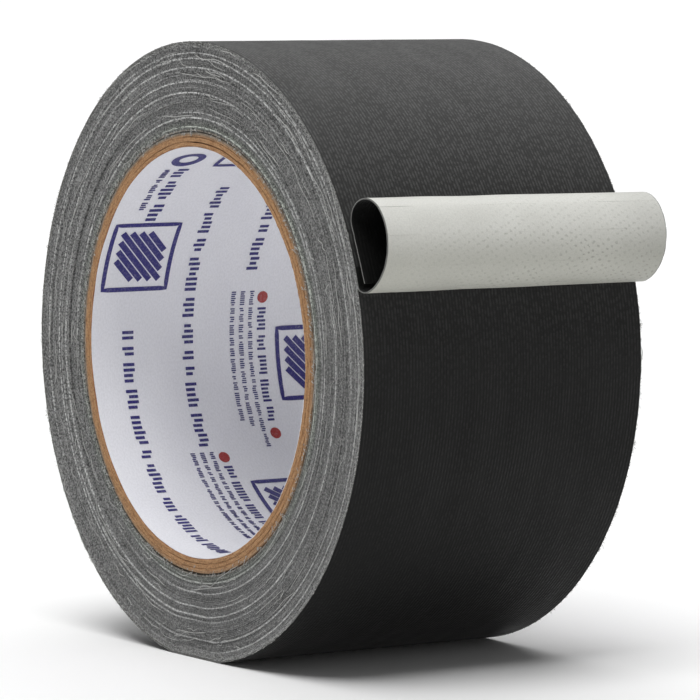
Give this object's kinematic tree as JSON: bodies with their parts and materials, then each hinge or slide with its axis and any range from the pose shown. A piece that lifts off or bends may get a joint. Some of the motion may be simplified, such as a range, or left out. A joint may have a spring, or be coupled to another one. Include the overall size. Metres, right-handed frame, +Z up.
{
  "type": "duct tape roll",
  "caption": "Roll of black cloth duct tape on a paper-lined kraft core, standing on its tread, with its free end lifted from the roll and curled into a tube across the full width.",
  "frame": {"origin": "middle of the small flat on the tread that the roll stands on, straight under the roll's axis", "axes": "+Z up; Y along the roll's axis; +X towards the free end of the tape"},
  "size_m": [0.122, 0.0604, 0.1141],
  "materials": {
    "liner_paper": "coated white paper, printed",
    "kraft_board": "raw kraft board",
    "wound_tape": "cut edges of cloth tape, fuzzy",
    "backing_film": "matt black polyethylene with a woven texture",
    "scrim_cloth": "cotton scrim",
    "adhesive": "off-white tacky rubber"
  },
  "bodies": {
    "roll": {"core_liner": "liner_paper", "core_inner_ply": "kraft_board", "core_middle_ply": "kraft_board", "core_outer_ply": "kraft_board", "tape_inner_turns": "wound_tape", "tape_middle_turns": "wound_tape", "tape_outer_turns": "wound_tape", "last_turn_backing_film": "backing_film", "last_turn_scrim_cloth": "scrim_cloth", "last_turn_adhesive": "adhesive"},
    "tail_1": {"tail_1_backing_film": "backing_film", "tail_1_scrim_cloth": "scrim_cloth", "tail_1_adhesive": "adhesive"},
    "tail_2": {"tail_2_backing_film": "backing_film", "tail_2_scrim_cloth": "scrim_cloth", "tail_2_adhesive": "adhesive"},
    "tail_3": {"tail_3_backing_film": "backing_film", "tail_3_scrim_cloth": "scrim_cloth", "tail_3_adhesive": "adhesive"},
    "tail_4": {"tail_4_backing_film": "backing_film", "tail_4_scrim_cloth": "scrim_cloth", "tail_4_adhesive": "adhesive"},
    "tail_5": {"tail_5_backing_film": "backing_film", "tail_5_scrim_cloth": "scrim_cloth", "tail_5_adhesive": "adhesive"},
    "tail_6": {"tail_6_backing_film": "backing_film", "tail_6_scrim_cloth": "scrim_cloth", "tail_6_adhesive": "adhesive"},
    "tail_7": {"tail_7_backing_film": "backing_film", "tail_7_scrim_cloth": "scrim_cloth", "tail_7_adhesive": "adhesive"},
    "tail_8": {"tail_8_backing_film": "backing_film", "tail_8_scrim_cloth": "scrim_cloth", "tail_8_adhesive": "adhesive"},
    "tail_9": {"tail_9_backing_film": "backing_film", "tail_9_scrim_cloth": "scrim_cloth", "tail_9_adhesive": "adhesive"},
    "tail_tip": {"tail_tip_backing_film": "backing_film", "tail_tip_scrim_cloth": "scrim_cloth", "tail_tip_adhesive": "adhesive"}
  },
  "joints": [
    {"name": "peel", "type": "hinge", "parent": "roll", "child": "tail_1", "pos_m": [0.05569, 0, 0.07162], "axis": [0, 1, 0], "range_deg": [0, 50]},
    {"name": "curl_1", "type": "hinge", "parent": "tail_1", "child": "tail_2", "pos_m": [0.05859, 0, 0.07123], "axis": [0, 1, 0], "range_deg": [0, 26]},
    {"name": "curl_2", "type": "hinge", "parent": "tail_2", "child": "tail_3", "pos_m": [0.06108, 0, 0.0726], "axis": [0, 1, 0], "range_deg": [0, 15.6]},
    {"name": "curl_3", "type": "hinge", "parent": "tail_3", "child": "tail_4", "pos_m": [0.06304, 0, 0.07465], "axis": [0, 1, 0], "range_deg": [0, 15.86]},
    {"name": "curl_4", "type": "hinge", "parent": "tail_4", "child": "tail_5", "pos_m": [0.06426, 0, 0.07715], "axis": [0, 1, 0], "range_deg": [0, 16.12]},
    {"name": "curl_5", "type": "hinge", "parent": "tail_5", "child": "tail_6", "pos_m": [0.06465, 0, 0.07991], "axis": [0, 1, 0], "range_deg": [0, 16.64]},
    {"name": "curl_6", "type": "hinge", "parent": "tail_6", "child": "tail_7", "pos_m": [0.06413, 0, 0.08271], "axis": [0, 1, 0], "range_deg": [0, 16.9]},
    {"name": "curl_7", "type": "hinge", "parent": "tail_7", "child": "tail_8", "pos_m": [0.06273, 0, 0.08518], "axis": [0, 1, 0], "range_deg": [0, 19.5]},
    {"name": "curl_8", "type": "hinge", "parent": "tail_8", "child": "tail_9", "pos_m": [0.06055, 0, 0.08693], "axis": [0, 1, 0], "range_deg": [0, 21.84]},
    {"name": "curl_9", "type": "hinge", "parent": "tail_9", "child": "tail_tip", "pos_m": [0.05785, 0, 0.08761], "axis": [0, 1, 0], "range_deg": [0, 16.38]}
  ],
  "couplings": [
    {"joint": "curl_2", "follows": "curl_1", "ratio": 0.6},
    {"joint": "curl_3", "follows": "curl_1", "ratio": 0.61},
    {"joint": "curl_4", "follows": "curl_1", "ratio": 0.62},
    {"joint": "curl_5", "follows": "curl_1", "ratio": 0.64},
    {"joint": "curl_6", "follows": "curl_1", "ratio": 0.65},
    {"joint": "curl_7", "follows": "curl_1", "ratio": 0.75},
    {"joint": "curl_8", "follows": "curl_1", "ratio": 0.84},
    {"joint": "curl_9", "follows": "curl_1", "ratio": 0.63}
  ]
}
